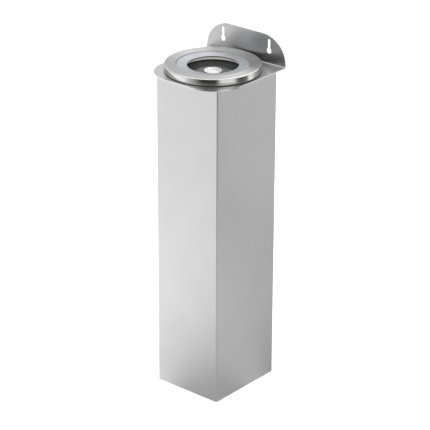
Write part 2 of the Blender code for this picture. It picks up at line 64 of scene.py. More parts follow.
# Camera: where it stands, its angles in degrees, and its focal length and sensor width in millimetres
CAMERA_PLACE = (1.562878, -1.844647, 1.303317)
CAMERA_YAW, CAMERA_PITCH, CAMERA_ROLL = 40.197, 23.851, 0.218
CAMERA_LENS, SENSOR_WIDTH = 172.9, 36.0

# Housing: sheets, bends, corner radii, the plate's opening, the keyholes' radii and top, and the bend's rows of faces
COLUMN_SHEET, COLUMN_BEND, SEAM_WIDTH = 0.0012, 0.0018, 0.0006
BRACKET_SHEET, BRACKET_BEND = 0.0015, 0.0015
FRONT_CORNER, WALL_CORNER, PLATE_OPENING = 0.044, 0.039, 0.0486
KEYHOLE_HEAD, KEYHOLE_SLOT, KEYHOLE_TOP = 0.00375, 0.002, 0.4635
BEND_ROWS = 14
# Seam rivets: shank, bulb on the inner end, depth of the cone under the head, the pit in the head, the hole and
# its countersink, and how far the head sits below the sheet
RIVET_COUNT, RIVET_SHANK, RIVET_BULB, RIVET_CONE = 6, 0.0016, 0.0025, 0.0012
RIVET_PIT, RIVET_PIT_DEPTH, RIVET_HOLE, RIVET_SINK = 0.0010, 0.00045, 0.0018, 0.0013
RIVET_BELOW = 0.00005
# Screws: count, hole and countersink or head, thread radius and pitch, tip, and the cross recess's radius and depth
BRACKET_SCREW_COUNT, BRACKET_HOLE, BRACKET_SINK = 4, 0.0023, 0.0014
BRACKET_THREAD, BRACKET_PITCH, BRACKET_TIP, BRACKET_RECESS = 0.002, 0.0007, 0.0015, (0.0019, 0.0009)
SPIDER_SCREW_COUNT, SPIDER_HEAD, SPIDER_CROWN = 3, 0.0018, 0.0006
SPIDER_THREAD, SPIDER_PITCH, SPIDER_TIP, SPIDER_RECESS = 0.0015, 0.0005, 0.0012, (0.0013, 0.0008)
# Liner: tube, the round at the base's foot, the finger holes' radius, and the flange's rounds inside and outside
LINER_RADIUS, LINER_SHEET, LINER_FOOT, FINGER_HOLE = 0.046, 0.001, 0.0014, 0.009
FLANGE_INSIDE, FLANGE_OUTSIDE = 0.0012, 0.0006
# Head ring: bore, inner ledge, the heights of the ledge's faces, wall, the top's fall inwards and its fillet, and
# how far in from the edge the side band's and the fillet's materials reach
RING_BORE, LEDGE_INNER, LEDGE_OUTER = 0.0458, 0.0436, 0.0520
LEDGE_TOP, LEDGE_BOTTOM, RING_WALL, RING_SLOPE = 0.0060, 0.0020, 0.0015, 0.0004
RING_FILLET, BAND_EDGE, FILLET_EDGE = 0.0014, 0.0004, 0.0012
GASKET_BORE = 0.0540
# Dish: sheet, the fall from its edge to the mouth, the radii of its mouth and upright collar, and its lip
DISH_SHEET, DISH_FALL, DISH_MOUTH, DISH_COLLAR, DISH_LIP = 0.0012, 0.0013, 0.0322, 0.0365, 0.0005
# Dome: flat seat, sheet, bore and steps; under 1 its section is fuller than an ellipse
DOME_SEAT, DOME_SHEET, DOME_BORE, DOME_STEPS, DOME_FULLNESS = 0.0105, 0.0012, 0.0028, 24, 0.7
# Stub disc: thickness, its stud, the thread's length and pitch, and the step in its face
DISC_THICK, STUD, STUD_THREAD, STUD_PITCH, STUD_TIP = 0.0012, 0.0025, 0.007, 0.0008, 0.0021
DISC_STEP, DISC_GROOVE = 0.0001, 0.00025
SKIRT_WALL = 0.001

# Edge rounds from crisp to soft, and the bevels of cut edges
CRISP, KEEN, EASED, SOFT = 0.0001, 0.0002, 0.0003, 0.0004
COLUMN_EDGE, BRACKET_EDGE, SCREW_EDGE = 0.00018, 0.0002, 0.00006
# How far a cutter runs past a face, and how deep it goes
PAST, DEEP = 0.001, 0.006

# Fineness of turned pieces
FINE, MEDIUM, SMALL = 192, 128, 40
GAP = 0.0003
SMOOTH_ANGLE = math.radians(35)
# Turns a piece made along +Z to point along +Y
TO_BACK = Matrix.Rotation(math.radians(-90), 4, "X")

# How far the circular grain runs before it changes
CIRCLE_TURN = 0.004
# Each grain's stretch of the coordinates, the axis its tangent turns about, and the turn of its highlight
GRAINS = {
    "upright": ((1, 1, 0.008), "Z", 0.0),
    "level": ((0.008, 1, 1), "X", 0.0),
    "round": (None, "Z", 0.25),
}
# Sizes of the noises, as repeats in a metre
GRAIN_FINE, GRAIN_COARSE, CLOUDS = 3600.0, 700.0, 22.0
BLAST_GRIT, BLAST_STAINS, ZINC_CELLS, ZINC_GRAIN = 2600.0, 45.0, 210.0, 1800.0
PLATE_MARKS, PLATE_DULL, PEEL, ASH = 2400.0, 380.0, 900.0, 120.0
RUBBER_GRIT, RUBBER_BLOOM, FLOOR_GRAIN = 3000.0, 90.0, 60.0
# Heights of the bumps
GRAIN_BUMP, BLAST_BUMP, ZINC_BUMP, PLATE_BUMP, ROUGH_BUMP = 0.00006, 0.00004, 0.00003, 0.00002, 0.00005


# ---- Shapes ----


def rotated(vector, angle):
    c, s = math.cos(angle), math.sin(angle)
    return Vector((c * vector.x - s * vector.y, s * vector.x + c * vector.y))


def filleted(corners, steps=6):
    """A closed outline through (x, y, radius) corners, each rounded to its radius."""
    points = []
    for i, (x, y, radius) in enumerate(corners):
        here = Vector((x, y))
        if radius <= 0:
            points.append((here.x, here.y))
            continue
        before = (Vector(corners[i - 1][:2]) - here).normalized()
        after = (Vector(corners[(i + 1) % len(corners)][:2]) - here).normalized()
        half = before.angle(after) / 2
        centre = here + (before + after).normalized() * radius / math.sin(half)
        start = here + before * radius / math.tan(half) - centre
        end = here + after * radius / math.tan(half) - centre
        turn = math.atan2(start.x * end.y - start.y * end.x, start.dot(end))
        for step in range(steps + 1):
            spot = centre + rotated(start, turn * step / steps)
            points.append((spot.x, spot.y))
    return points


def arc(centre, radius, start, end, steps):
    angles = [math.radians(start + (end - start) * i / steps) for i in range(steps + 1)]
    return [(centre[0] + radius * math.cos(a), centre[1] + radius * math.sin(a)) for a in angles]


def turned(profile, steps):
    """The closed (radius, height) profile turned about the Z axis."""
    bm = bmesh.new()
    rings = []
    for radius, height in profile:
        if radius < 1e-6:
            rings.append([bm.verts.new((0, 0, height))] * steps)
            continue
        turns = [2 * math.pi * k / steps for k in range(steps)]
        rings.append([bm.verts.new((radius * math.cos(a), radius * math.sin(a), height)) for a in turns])
    for i, ring in enumerate(rings):
        beyond = rings[(i + 1) % len(rings)]
        if ring[0] is ring[1] and beyond[0] is beyond[1]:
            continue
        for k in range(steps):
            n = (k + 1) % steps
            loop = []
            for vert in (ring[k], ring[n], beyond[n], beyond[k]):
                if vert not in loop:
                    loop.append(vert)
            bm.faces.new(loop)
    bmesh.ops.recalc_face_normals(bm, faces=bm.faces)
    return bm


def prism(outline, low, high):
    bm = bmesh.new()
    face = bm.faces.new([bm.verts.new((x, y, low)) for x, y in outline])
    grown = bmesh.ops.extrude_face_region(bm, geom=[face], use_keep_orig=True)
    top = [v for v in grown["geom"] if isinstance(v, bmesh.types.BMVert)]
    bmesh.ops.translate(bm, verts=top, vec=(0, 0, high - low))
    bmesh.ops.recalc_face_normals(bm, faces=bm.faces)
    return bm


def moved(bm, place, turn=None):
    bmesh.ops.transform(bm, matrix=Matrix.Translation(place) @ (turn or Matrix.Identity(4)), verts=bm.verts)
    return bm


def merged(parts):
    whole = bmesh.new()
    for part in parts:
        mesh = bpy.data.meshes.new("part")
        part.to_mesh(mesh)
        part.free()
        whole.from_mesh(mesh)
        bpy.data.meshes.remove(mesh)
    return whole


def shaped(name, bm):
    mesh = bpy.data.meshes.new(name)
    bm.to_mesh(mesh)
    bm.free()
    obj = bpy.data.objects.new(name, mesh)
    bpy.context.scene.collection.objects.link(obj)
    return obj


def applied(obj):
    graph = bpy.context.evaluated_depsgraph_get()
    old, obj.data = obj.data, bpy.data.meshes.new_from_object(obj.evaluated_get(graph))
    obj.modifiers.clear()
    bpy.data.meshes.remove(old)


def cut(obj, bm):
    cutter = shaped("cutter", bm)
    boolean = obj.modifiers.new("cut", "BOOLEAN")
    boolean.object, boolean.operation, boolean.solver = cutter, "DIFFERENCE", "EXACT"
    applied(obj)
    mesh = cutter.data
    bpy.data.objects.remove(cutter)
    bpy.data.meshes.remove(mesh)


def finished(obj, body, materials, nodes, edge=0.0):
    """Rounds the sharp edges, gives them the last material, smooths the rest and puts the piece on its body."""
    obj.data.materials.clear()
    for material in materials:
        obj.data.materials.append(material)
    if edge:
        bevel = obj.modifiers.new("edges", "BEVEL")
        bevel.width, bevel.segments, bevel.limit_method = edge, 2, "ANGLE"
        bevel.angle_limit, bevel.material = SMOOTH_ANGLE, len(materials) - 1
        bevel.use_clamp_overlap = True
        applied(obj)
    obj.data.shade_smooth()
    obj.data.set_sharp_from_angle(angle=SMOOTH_ANGLE)
    normals = obj.modifiers.new("normals", "WEIGHTED_NORMAL")
    normals.keep_sharp = True
    applied(obj)
    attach(obj, body)
    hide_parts(*nodes)
    return obj


def middle(node):
    low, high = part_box(node)
    return (low + high) / 2


# ---- Materials ----


class Shader:
    """A material's node tree, with short calls that add its nodes."""

    def __init__(self, name, tree=None):
        if not tree:
            self.material = bpy.data.materials.new(name)
            self.material.use_nodes = True
            tree = self.material.node_tree
        self.tree = tree
        self.tree.nodes.clear()
        self.place = self.add("ShaderNodeTexCoord").outputs["Object"]

    def add(self, kind, inputs=None, **settings):
        made = self.tree.nodes.new(kind)
        for key, value in settings.items():
            setattr(made, key, value)
        for key, value in (inputs or {}).items():
            if isinstance(value, bpy.types.NodeSocket):
                self.tree.links.new(value, made.inputs[key])
            else:
                made.inputs[key].default_value = value
        return made

    def maths(self, operation, a, b=0.0):
        return self.add("ShaderNodeMath", {0: a, 1: b}, operation=operation).outputs[0]

    def scaled(self, vector, scale):
        return self.add("ShaderNodeVectorMath", {0: vector, 1: scale}, operation="MULTIPLY").outputs[0]

    def noise(self, vector, scale, detail=3.0):
        inputs = {"Vector": vector, "Scale": scale, "Detail": detail}
        return self.add("ShaderNodeTexNoise", inputs).outputs["Fac"]

    def remap(self, value, low, high, start=0.0, end=1.0, smooth=False):
        inputs = {"Value": value, "From Min": start, "From Max": end, "To Min": low, "To Max": high}
        kind = "SMOOTHSTEP" if smooth else "LINEAR"
        return self.add("ShaderNodeMapRange", inputs, interpolation_type=kind).outputs["Result"]

    def mix(self, factor, a, b):
        made = self.add("ShaderNodeMix", data_type="RGBA")
        for socket, value in ((0, factor), (6, a), (7, b)):
            if isinstance(value, bpy.types.NodeSocket):
                self.tree.links.new(value, made.inputs[socket])
            else:
                made.inputs[socket].default_value = value
        return made.outputs[2]

    def radius(self):
        flat = self.scaled(self.place, (1, 1, 0))
        return self.add("ShaderNodeVectorMath", {0: flat}, operation="LENGTH").outputs["Value"]

    def circles(self):
        """Coordinates that change fast outwards and slowly round the axis, with no seam."""
        flat = self.scaled(self.place, (1, 1, 0))
        way = self.add("ShaderNodeVectorMath", {0: flat}, operation="NORMALIZE").outputs[0]
        parts = self.add("ShaderNodeSeparateXYZ", {0: way}).outputs
        height = self.add("ShaderNodeSeparateXYZ", {0: self.place}).outputs[2]
        out = self.maths("ADD", self.radius(), height)
        inputs = {0: out, 1: self.maths("MULTIPLY", parts[0], CIRCLE_TURN)}
        inputs[2] = self.maths("MULTIPLY", parts[1], CIRCLE_TURN)
        return self.add("ShaderNodeCombineXYZ", inputs).outputs[0]

    def bump(self, height, depth, strength=1.0, normal=None):
        inputs = {"Height": height, "Distance": depth, "Strength": strength}
        if normal:
            inputs["Normal"] = normal
        return self.add("ShaderNodeBump", inputs).outputs["Normal"]

    def surface(self, **inputs):
        named = {key.replace("_", " "): value for key, value in inputs.items()}
        shader = self.add("ShaderNodeBsdfPrincipled", named)
        self.add("ShaderNodeOutputMaterial", {"Surface": shader.outputs[0]})
        return self.material


def tinted(colour, factor):
    return tuple(min(c * factor, 1.0) for c in colour) + (1.0,)


def brushed(name, colour, grain, roughness, anisotropy, spread=0.03):
    """Brushed metal: fine and coarse grain under faint clouding."""
    s = Shader(name)
    stretch, axis, turn = GRAINS[grain]
    place = s.scaled(s.place, stretch) if stretch else s.circles()
    fine, coarse = s.noise(place, GRAIN_FINE, 2.0), s.noise(place, GRAIN_COARSE, 4.0)
    cloud = s.noise(s.place, CLOUDS, 4.0)
    both = s.maths("ADD", s.maths("MULTIPLY", fine, 0.4), s.maths("MULTIPLY", coarse, 0.6))
    tone = s.mix(s.remap(both, 0, 1, 0.3, 0.7), tinted(colour, 1 - spread), tinted(colour, 1 + spread))
    tone = s.mix(s.remap(cloud, 0, 0.35, 0.35, 0.75), tone, tinted(colour, 0.93))
    rough = s.maths("ADD", s.remap(both, -0.05, 0.06), s.remap(cloud, roughness - 0.02, roughness + 0.03))
    normal = s.bump(both, GRAIN_BUMP, 0.6)
    tangent = s.add("ShaderNodeTangent", direction_type="RADIAL", axis=axis).outputs[0]
    return s.surface(
        Base_Color=tone, Metallic=1.0, Roughness=rough, Normal=normal, Tangent=tangent,
        Anisotropic=anisotropy, Anisotropic_Rotation=turn,
    )


def blasted(name, colour, roughness, metallic=1.0):
    """A finely blasted surface with faint stains."""
    s = Shader(name)
    grit, stain = s.noise(s.place, BLAST_GRIT, 3.0), s.noise(s.place, BLAST_STAINS, 5.0)
    tone = s.mix(s.remap(grit, 0, 1, 0.3, 0.7), tinted(colour, 0.95), tinted(colour, 1.05))
    tone = s.mix(s.remap(stain, 0, 0.5, 0.5, 0.8), tone, tinted(colour, 0.82))
    rough = s.remap(grit, roughness - 0.05, roughness + 0.07, 0.3, 0.7)
    normal = s.bump(grit, BLAST_BUMP, 0.5)
    return s.surface(Base_Color=tone, Metallic=metallic, Roughness=rough, Normal=normal)


def galvanised(name, colour):
    """Zinc-coated sheet: crystal patches over a fine grain."""
    s = Shader(name)
    cells = s.add("ShaderNodeTexVoronoi", {"Vector": s.place, "Scale": ZINC_CELLS}, feature="F1")
    patch = s.add("ShaderNodeSeparateColor", {0: cells.outputs["Color"]}).outputs[0]
    fine = s.noise(s.place, ZINC_GRAIN, 3.0)
    tone = s.mix(patch, tinted(colour, 0.86), tinted(colour, 1.1))
    rough = s.maths("ADD", s.remap(patch, 0.3, 0.46), s.remap(fine, -0.04, 0.04))
    return s.surface(Base_Color=tone, Metallic=1.0, Roughness=rough, Normal=s.bump(fine, ZINC_BUMP, 0.5))


def plated(name, colour, roughness=0.28):
    """Zinc-plated small parts: fine handling marks and dull patches."""
    s = Shader(name)
    marks = s.noise(s.scaled(s.place, (1, 1, 0.3)), PLATE_MARKS, 4.0)
    dull = s.noise(s.place, PLATE_DULL, 3.0)
    tone = s.mix(dull, tinted(colour, 0.85), tinted(colour, 1.08))
    rough = s.maths("ADD", s.remap(dull, roughness - 0.06, roughness + 0.12), s.remap(marks, -0.03, 0.03))
    return s.surface(Base_Color=tone, Metallic=1.0, Roughness=rough, Normal=s.bump(marks, PLATE_BUMP, 0.5))


def enamel(name, colour, dust):
    """Dark coating with a slight orange peel, and pale ash dust that settles in patches."""
    s = Shader(name)
    peel, patches = s.noise(s.place, PEEL, 2.0), s.noise(s.place, ASH, 6.0)
    ash = s.remap(patches, 0, 0.4, 0.5, 0.85)
    tone = s.mix(ash, tinted(colour, 1.0), tinted(dust, 1.0))
    rough = s.remap(ash, 0.32, 0.6, 0.0, 0.4)
    normal = s.bump(peel, ROUGH_BUMP, 0.5)
    return s.surface(Base_Color=tone, Metallic=0.35, Roughness=rough, Normal=normal)


def rubber(name):
    """Matt black rubber with a faint bloom."""
    s = Shader(name)
    grit, bloom = s.noise(s.place, RUBBER_GRIT, 3.0), s.noise(s.place, RUBBER_BLOOM, 4.0)
    tone = s.mix(s.remap(bloom, 0, 0.5), (0.014, 0.014, 0.015, 1), (0.04, 0.04, 0.042, 1))
    rough = s.remap(grit, 0.62, 0.82)
    normal = s.bump(grit, ROUGH_BUMP, 0.5)
    return s.surface(Base_Color=tone, Metallic=0.0, Roughness=rough, Normal=normal)


SATIN = brushed("satin_upright", (0.50, 0.50, 0.50), "upright", 0.34, 0.45)
SATIN_LEVEL = brushed("satin_level", (0.58, 0.58, 0.58), "level", 0.28, 0.4)
# The wall flange is the bracket's own sheet, given a darker copy of the plate's steel: painted shade on the upright
# flange
SATIN_WALL_SHADED = brushed("satin_wall_painted_shade", (0.385, 0.385, 0.385), "level", 0.30, 0.4)
TURNED = brushed("turned_round", (0.52, 0.52, 0.525), "round", 0.38, 0.90, 0.05)
BAND = brushed("turned_band", (0.54, 0.54, 0.53), "round", 0.13, 0.3, 0.04)
# Brighter steel on rounded edges and on the ring's top fillet: edge wear together with a painted highlight along the
# edges
WORN_EDGE_AND_HIGHLIGHT = brushed("worn_edge_and_painted_highlight", (0.74, 0.735, 0.72), "level", 0.20, 0.2, 0.05)
DISH = blasted("dish_blasted", (0.515, 0.528, 0.558), 0.36)
# The collar's inner wall under the mouth: its steel given a pale cream, mostly non-metal colour so it shows bright: a
# painted reflection
COLLAR = blasted("collar_painted_reflection", (0.86, 0.85, 0.82), 0.5, 0.15)
INNER = brushed("mill_inner", (0.42, 0.42, 0.41), "upright", 0.40, 0.3, 0.07)
SOOTED = blasted("mill_sooted", (0.095, 0.095, 0.093), 0.55, 0.3)
LINER = galvanised("liner_zinc", (0.50, 0.51, 0.52))
ZINC = plated("zinc_plated", (0.58, 0.59, 0.60))
BAFFLE = enamel("baffle_black", (0.062, 0.062, 0.063), (0.22, 0.22, 0.21))
# The stub disc's near-white colour, far above the other steel, makes it shine: a painted highlight
DISC = brushed("disc_painted_highlight", (0.93, 0.93, 0.94), "round", 0.26, 0.5, 0.04)
GASKET = rubber("gasket_rubber")


# ---- Housing ----


def sink(node, hole, depth):
    """The section of a cutter for a countersunk hole round a rivet or screw."""
    low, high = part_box(node)
    head = (high.x - low.x) / 2 + GAP / 2
    return [(0, -DEEP), (hole, -DEEP), (hole, -depth), (head, 0), (head, PAST), (0, PAST)]


def make_column():
    low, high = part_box("column_shell")
    half, front, back, t = high.x, low.y, high.y, COLUMN_SHEET
    inner = COLUMN_BEND - t
    seam = SEAM_WIDTH / 2
    outline = [
        (-seam, back, 0), (-half, back, COLUMN_BEND), (-half, front, COLUMN_BEND),
        (half, front, COLUMN_BEND), (half, back, COLUMN_BEND), (seam, back, 0), (seam, back - t, 0),
        (half - t, back - t, inner), (half - t, front + t, inner),
        (-half + t, front + t, inner), (-half + t, back - t, inner), (-seam, back - t, 0),
    ]
    column = shaped("column_detail", prism(filleted(outline, 8), low.z, high.z))
    sinks = []
    for i in range(1, RIVET_COUNT + 1):
        place = middle(f"seam_rivet_{i}")
        profile = sink(f"seam_rivet_{i}", RIVET_HOLE, RIVET_SINK)
        sinks.append(moved(turned(profile, SMALL), (place.x, back, place.z), TO_BACK))
    cut(column, merged(sinks))
    finished(column, "housing", [SATIN, WORN_EDGE_AND_HIGHLIGHT], ["column_shell"], COLUMN_EDGE)


def make_rivets():
    for i in range(1, RIVET_COUNT + 1):
        low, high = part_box(f"seam_rivet_{i}")
        place, radius, end = middle(f"seam_rivet_{i}"), (high.x - low.x) / 2, low.y - high.y
        bulb = min(RIVET_BULB, radius)
        corners = [
            (0, -RIVET_PIT_DEPTH, 0), (RIVET_PIT, -RIVET_PIT_DEPTH, CRISP),
            (RIVET_PIT + CRISP, -RIVET_BELOW, CRISP), (radius, -RIVET_BELOW, KEEN),
            (RIVET_SHANK, -RIVET_CONE, CRISP), (RIVET_SHANK, end + RIVET_CONE + SOFT, CRISP),
            (bulb, end + RIVET_CONE, SOFT), (bulb * 0.9, end, EASED), (0, end, 0),
        ]
        rivet = turned(filleted(corners, 4), SMALL)
        obj = shaped(f"seam_rivet_detail_{i}", moved(rivet, (place.x, high.y, place.z), TO_BACK))
        finished(obj, "housing", [ZINC], [f"seam_rivet_{i}"])


def keyhole_cutter(x, centre, back):
    """A round hole with a narrow slot above it, through the wall flange."""
    neck = math.degrees(math.asin(KEYHOLE_SLOT / KEYHOLE_HEAD))
    outline = [
        *arc((x, -centre), KEYHOLE_HEAD, neck - 90, 270 - neck, 36),
        *arc((x, -(KEYHOLE_TOP - KEYHOLE_SLOT)), KEYHOLE_SLOT, 180, 360, 18),
    ]
    depth = 4 * BRACKET_SHEET
    return moved(prism(outline, -depth, depth), (0, back - BRACKET_SHEET / 2, 0), TO_BACK)


def bend(bm, start, length, centre):
    """Rolls what lies behind the start of the bend up through a quarter turn."""
    for step in range(BEND_ROWS + 1):
        everything = bm.verts[:] + bm.edges[:] + bm.faces[:]
        row = (0, start + length * step / BEND_ROWS, 0)
        bmesh.ops.bisect_plane(bm, geom=everything, plane_co=row, plane_no=(0, 1, 0), dist=1e-7)
    for vert in bm.verts:
        run = vert.co.y - start
        if run <= 0:
            continue
        angle = min(run / length, 1) * math.pi / 2
        straight = max(run - length, 0)
        radius = centre - vert.co.z
        vert.co.y = start + radius * math.sin(angle) + straight * math.cos(angle)
        vert.co.z = centre - radius * math.cos(angle) + straight * math.sin(angle)


def bracket_cutters(under, plate_top, back):
    """The round opening, the two keyholes and the four countersunk screw holes."""
    low, high = under - DEEP, plate_top + DEEP
    cutters = [turned([(0, low), (PLATE_OPENING, low), (PLATE_OPENING, high), (0, high)], FINE)]
    for opening_box in frame["record"]["physics"]["openings"]:
        if opening_box["name"].startswith("keyhole_head"):
            (x0, _, z0), (x1, _, z1) = opening_box["box_m"]
            cutters.append(keyhole_cutter((x0 + x1) / 2, (z0 + z1) / 2, back))
    for i in range(1, BRACKET_SCREW_COUNT + 1):
        place = middle(f"bracket_screw_{i}")
        profile = sink(f"bracket_screw_{i}", BRACKET_HOLE, BRACKET_SINK)
        cutters.append(moved(turned(profile, SMALL), (place.x, place.y, plate_top)))
    return cutters


def make_bracket():
    low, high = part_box("top_bracket")
    half, front, back, under, top = high.x, low.y, high.y, low.z, high.z
    plate_top = under + BRACKET_SHEET
    start = back - BRACKET_SHEET - BRACKET_BEND
    length = math.pi / 2 * BRACKET_BEND
    end = start + length + (top - plate_top - BRACKET_BEND)
    corner = WALL_CORNER - BRACKET_BEND - BRACKET_SHEET
    outline = [(half, front, FRONT_CORNER), (half, end, corner), (-half, end, corner), (-half, front, FRONT_CORNER)]
    bm = prism(filleted(outline, 40), under, plate_top)
    bend(bm, start, length, plate_top + BRACKET_BEND)
    bracket = shaped("bracket_detail", bm)
    for cutter in bracket_cutters(under, plate_top, back):
        cut(bracket, cutter)
    finished(bracket, "housing", [SATIN_LEVEL, SATIN_WALL_SHADED, WORN_EDGE_AND_HIGHLIGHT], ["top_bracket"], BRACKET_EDGE)
    # Faces up the bend and on the wall flange take the darker copy of the steel: painted shade
    for face in bracket.data.polygons:
        if face.material_index == 0 and face.center.z > plate_top + BRACKET_BEND / 2:
            face.material_index = 1


def cross_recess(radius, depth, top):
    """A cutter for a screw's cross slot."""
    arms = []
    for turn in (0, 90):
        outline = [(-radius, -radius / 5), (radius, -radius / 5), (radius, radius / 5), (-radius, radius / 5)]
        arm = prism(outline, top - depth, top + PAST)
        arms.append(moved(arm, (0, 0, 0), Matrix.Rotation(math.radians(turn), 4, "Z")))
    return arms


def thread(radius, low, high, pitch):
    """The zigzag of a screw thread's section, downwards from high to low."""
    turns = max(int((high - low) / pitch), 1)
    points = []
    for k in range(turns):
        z = high - (high - low) * k / turns
        points += [(radius, z), (radius - 0.25 * pitch, z - 0.5 * (high - low) / turns)]
    return points + [(radius, low)]


def make_screw(node, body, profile, recess):
    place, top = middle(node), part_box(node)[1].z
    screw = shaped(f"{node}_detail", turned(profile, SMALL))
    for arm in cross_recess(*recess, top):
        cut(screw, arm)
    for vert in screw.data.vertices:
        vert.co += Vector((place.x, place.y, 0))
    finished(screw, body, [ZINC, WORN_EDGE_AND_HIGHLIGHT], [node], SCREW_EDGE)


def make_bracket_screws():
    for i in range(1, BRACKET_SCREW_COUNT + 1):
        low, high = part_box(f"bracket_screw_{i}")
        radius = (high.x - low.x) / 2
        turns = thread(BRACKET_THREAD, low.z + SOFT, high.z - BRACKET_SINK, BRACKET_PITCH)
        profile = [
            (0, high.z), (radius - CRISP, high.z), (radius, high.z - CRISP), *turns, (BRACKET_TIP, low.z), (0, low.z),
        ]
        make_screw(f"bracket_screw_{i}", "housing", profile, BRACKET_RECESS)


# ---- Liner ----


def make_liner():
    low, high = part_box("liner_tube")
    radius, bore = LINER_RADIUS, LINER_RADIUS - LINER_SHEET
    holes = frame["record"]["physics"]["openings"]
    finger = next(o["box_m"] for o in holes if o["name"] == "finger_hole_right")
    height = (finger[0][2] + finger[1][2]) / 2
    corners = [
        (high.x, high.z, SOFT), (high.x, high.z - LINER_SHEET, SOFT),
        (radius, high.z - LINER_SHEET, FLANGE_OUTSIDE), (radius, low.z, EASED), (bore, low.z, EASED),
        (bore, high.z, FLANGE_INSIDE),
    ]
    tube = shaped("liner_tube_detail", turned(filleted(corners, 6), FINE))
    across = Matrix.Rotation(math.radians(90), 4, "Y")
    reach = 2 * radius
    hole = [(0, -reach), (FINGER_HOLE, -reach), (FINGER_HOLE, reach), (0, reach)]
    cut(tube, moved(turned(hole, MEDIUM), (0, 0, height), across))
    finished(tube, "liner", [LINER, WORN_EDGE_AND_HIGHLIGHT], ["liner_tube"])


def make_liner_base():
    low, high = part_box("liner_base")
    radius, inside, floor = high.x, high.x - LINER_SHEET, low.z + LINER_SHEET
    corners = [
        (0, low.z, 0), (radius, low.z, LINER_FOOT), (radius, high.z, EASED), (inside, high.z, EASED),
        (inside, floor, FLANGE_OUTSIDE), (0, floor, 0),
    ]
    base = shaped("liner_base_detail", turned(filleted(corners, 8), FINE))
    finished(base, "liner", [LINER], ["liner_base"])


# ---- Head ----


def make_ring():
    low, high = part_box("head_ring")
    top, bottom, radius = high.z, low.z, high.x
    ledge_top, ledge_bottom = bottom + LEDGE_TOP, bottom + LEDGE_BOTTOM
    inside, under = radius - RING_WALL, top - RING_WALL
    corners = [
        (radius, bottom, EASED), (radius, top, RING_FILLET), (RING_BORE, top - RING_SLOPE, EASED),
        (RING_BORE, ledge_top, 0), (LEDGE_INNER, ledge_top, KEEN), (LEDGE_INNER, ledge_bottom, KEEN),
        (LEDGE_OUTER, ledge_bottom, KEEN), (LEDGE_OUTER, under, KEEN), (inside, under, KEEN), (inside, bottom, EASED),
    ]
    ring = shaped("head_ring_detail", turned(filleted(corners, 8), FINE))
    finished(ring, "head", [TURNED, BAND, WORN_EDGE_AND_HIGHLIGHT], ["head_ring"])
    for face in ring.data.polygons:
        reach = math.hypot(face.center.x, face.center.y)
        if reach > radius - BAND_EDGE:
            face.material_index = 1
        # The top fillet takes the brighter edge steel: a polished, worn edge and a painted highlight along the rim
        elif reach > radius - FILLET_EDGE and face.center.z > top - RING_FILLET:
            face.material_index = 2


def make_gasket():
    low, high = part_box("gasket")
    corners = [(GASKET_BORE, low.z, 0), (high.x, low.z, CRISP), (high.x, high.z, CRISP), (GASKET_BORE, high.z, 0)]
    gasket = shaped("gasket_detail", turned(filleted(corners, 3), FINE))
    finished(gasket, "head", [GASKET], ["gasket"])


def make_dish():
    low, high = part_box("dish")
    edge, top = high.x, high.z
    rim = top - DISH_FALL
    under, outside = rim - DISH_SHEET, DISH_COLLAR + DISH_SHEET
    corners = [
        (edge, top, KEEN), (DISH_MOUTH, rim, DISH_LIP), (DISH_MOUTH, under, EASED), (DISH_COLLAR, under, KEEN),
        (DISH_COLLAR, low.z, KEEN), (outside, low.z, KEEN), (outside, rim - 0.7 * DISH_SHEET, SOFT),
        (edge, top - DISH_SHEET, KEEN),
    ]
    dish = shaped("dish_detail", turned(filleted(corners, 10), FINE))
    finished(dish, "head", [DISH, COLLAR, INNER], ["dish"])
    for face in dish.data.polygons:
        reach = math.hypot(face.center.x, face.center.y)
        if reach < DISH_MOUTH + DISH_SHEET / 4 and face.center.z < rim - DISH_SHEET / 5:
            face.material_index = 2
        # The collar's inner faces take the pale cream material: a painted reflection
        elif face.center.z < under and reach < DISH_COLLAR + DISH_SHEET / 2:
            face.material_index = 1


def make_dome():
    low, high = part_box("baffle_dome")
    run, fall, under = high.x - DOME_SEAT, high.z - low.z, high.z - DOME_SHEET
    outer, inner = [], []
    for step in range(DOME_STEPS + 1):
        angle = math.pi / 2 * step / DOME_STEPS
        out, down = math.sin(angle) ** DOME_FULLNESS, 1 - math.cos(angle) ** DOME_FULLNESS
        outer.append((DOME_SEAT + run * out, high.z - fall * down))
        inner.append((DOME_SEAT + (run - DOME_SHEET) * out, under - (fall - DOME_SHEET) * down))
    profile = [(DOME_BORE, high.z), *outer, *inner[::-1], (DOME_BORE, under)]
    dome = shaped("baffle_dome_detail", turned(profile, FINE))
    finished(dome, "head", [BAFFLE], ["baffle_dome"])


def make_disc():
    low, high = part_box("stub_disc")
    radius, top, under = high.x, high.z, high.z - DISC_THICK
    face = [
        (0, top - DISC_STEP, 0), (radius * 0.55, top - DISC_STEP, 0), (radius * 0.58, top - DISC_GROOVE, KEEN),
        (radius * 0.61, top, KEEN), (radius, top, EASED), (radius, under, EASED), (STUD, under, EASED),
    ]
    turns = thread(STUD, low.z + EASED, low.z + STUD_THREAD, STUD_PITCH)
    stem = [*filleted(face, 5), *turns, (STUD_TIP, low.z), (0, low.z)]
    disc = shaped("stub_disc_detail", turned(stem, MEDIUM))
    finished(disc, "head", [DISC], ["stub_disc"])


def make_skirt():
    low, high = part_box("locating_skirt")
    radius, bore = high.x, high.x - SKIRT_WALL
    corners = [(bore, low.z, EASED), (radius, low.z, EASED), (radius, high.z, KEEN), (bore, high.z, KEEN)]
    skirt = shaped("locating_skirt_detail", turned(filleted(corners, 6), FINE))
    finished(skirt, "head", [INNER, SOOTED], ["locating_skirt"])
    for face in skirt.data.polygons:
        if face.normal.x * face.center.x + face.normal.y * face.center.y < 0:
            face.material_index = 1


